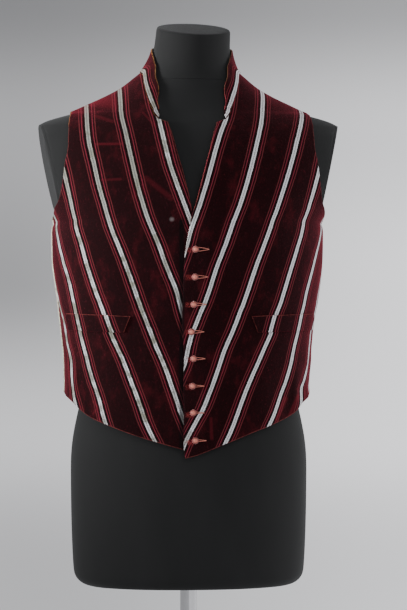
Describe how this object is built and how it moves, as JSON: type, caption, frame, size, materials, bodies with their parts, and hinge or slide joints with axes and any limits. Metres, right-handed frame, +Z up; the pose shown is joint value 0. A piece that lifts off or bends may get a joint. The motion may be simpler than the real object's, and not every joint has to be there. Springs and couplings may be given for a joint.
{
  "type": "waistcoat on dress form",
  "caption": "Single-breasted waistcoat of striped silk velvet with a stand collar, welt pockets and a pointed hem, buttoned on a limbless dress form with a pole and a round base.",
  "frame": {"origin": "middle of the underside of the stand's round base, on the surface it stands on", "axes": "+Z up; the front of the waistcoat faces -Y; +X is the wearer's left"},
  "size_m": [0.4358, 0.33, 1.1443],
  "materials": {
    "striped_velvet": "silk velvet, wine red with satin stripes",
    "back_cotton": "matt cotton with a small printed pattern",
    "button_thread": "worked over with silk thread",
    "form_jersey": "matt stretch jersey",
    "chrome": "polished"
  },
  "bodies": {
    "root": {"front_left": "striped_velvet", "front_right": "striped_velvet", "collar": "striped_velvet", "welt_left": "striped_velvet", "welt_right": "striped_velvet", "back": "back_cotton", "button_1": "button_thread", "button_2": "button_thread", "button_3": "button_thread", "button_4": "button_thread", "button_5": "button_thread", "button_6": "button_thread", "button_7": "button_thread", "button_8": "button_thread", "form_torso": "form_jersey", "form_neck": "form_jersey", "form_arm_plate_left": "form_jersey", "form_arm_plate_right": "form_jersey", "pole": "chrome", "base": "chrome"}
  },
  "joints": []
}
